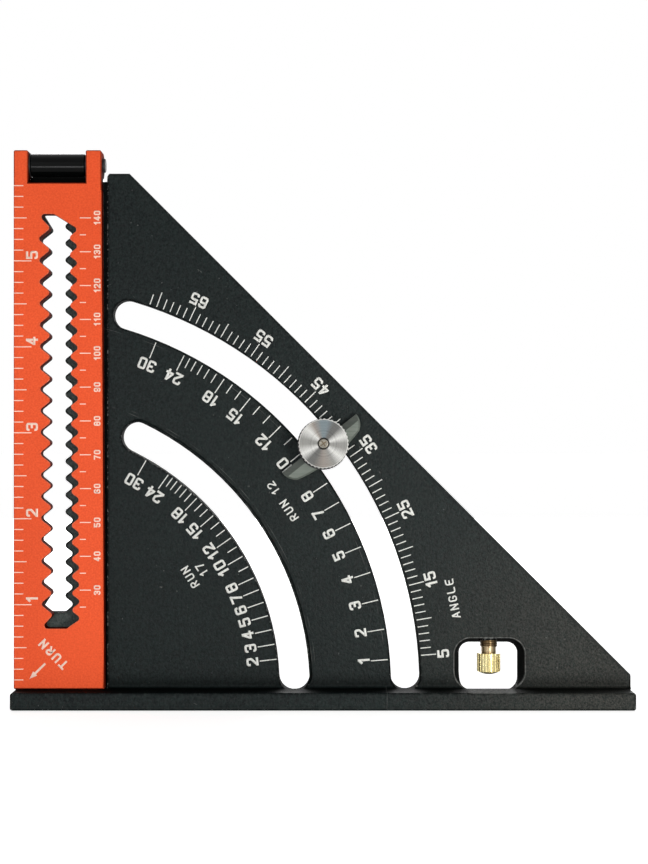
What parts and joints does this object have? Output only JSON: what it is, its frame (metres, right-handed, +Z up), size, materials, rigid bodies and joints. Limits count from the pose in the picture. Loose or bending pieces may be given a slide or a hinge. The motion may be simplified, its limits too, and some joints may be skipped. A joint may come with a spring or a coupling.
{
  "type": "folding carpenter square",
  "caption": "Triangular rafter square on a fence, with a hinged ruler arm that swings up to double its left edge, an angle stop clamped in an arc slot, and a brass thumb screw in a window.",
  "frame": {"origin": "centre of the fence's underside, under the plate's mid-plane", "axes": "+Z up from the fence along the plate, -Y towards the marked front face, +X along the fence from the heel to the toe"},
  "size_m": [0.1828, 0.0244, 0.1648],
  "materials": {
    "black_anodised": "fine brushed, black anodised, satin",
    "orange_anodised": "orange anodised, satin",
    "steel": "turned",
    "dark_steel": "blackened",
    "grey_anodised": "grey anodised, satin",
    "turned_aluminium": "turned face, knurled rim",
    "brass": "turned, knurled head"
  },
  "bodies": {
    "square": {"square_body": "black_anodised"},
    "arm": {"folding_arm": "orange_anodised", "hinge_pin": "steel", "hinge_washer_left": "steel", "hinge_washer_right": "steel"},
    "angle_stop": {"stop_block": "black_anodised", "stop_stud": "steel", "stop_pointer": "grey_anodised"},
    "washer": {"knob_washer": "dark_steel"},
    "knob": {"thumb_knob": "turned_aluminium"},
    "screw": {"thumb_screw": "brass"}
  },
  "joints": [
    {"name": "arm_fold", "type": "hinge", "parent": "square", "child": "arm", "pos_m": [0, -0.0015, 0.16078], "axis": [-1, 0, 0], "range_deg": [0, 180]},
    {"name": "stop_swing", "type": "hinge", "parent": "square", "child": "angle_stop", "pos_m": [-0.09145, 0, 0.0052], "axis": [0, -1, 0], "range_deg": [-34.5, 33]},
    {"name": "washer_slide", "type": "slide", "parent": "angle_stop", "child": "washer", "axis": [0, -1, 0], "range_m": [0, 0.0011]},
    {"name": "knob_turn", "type": "hinge", "parent": "washer", "child": "knob", "pos_m": [0.00015, -0.006, 0.07806], "axis": [0, -1, 0], "range_deg": [0, 540]},
    {"name": "screw_turn", "type": "hinge", "parent": "square", "child": "screw", "pos_m": [0.04955, 0.0006, 0.0152], "axis": [0, 0, -1], "range_deg": [0, 1440]}
  ],
  "couplings": [
    {"joint": "washer_slide", "follows": "knob_turn", "m_per_rad": 0.00011141}
  ]
}
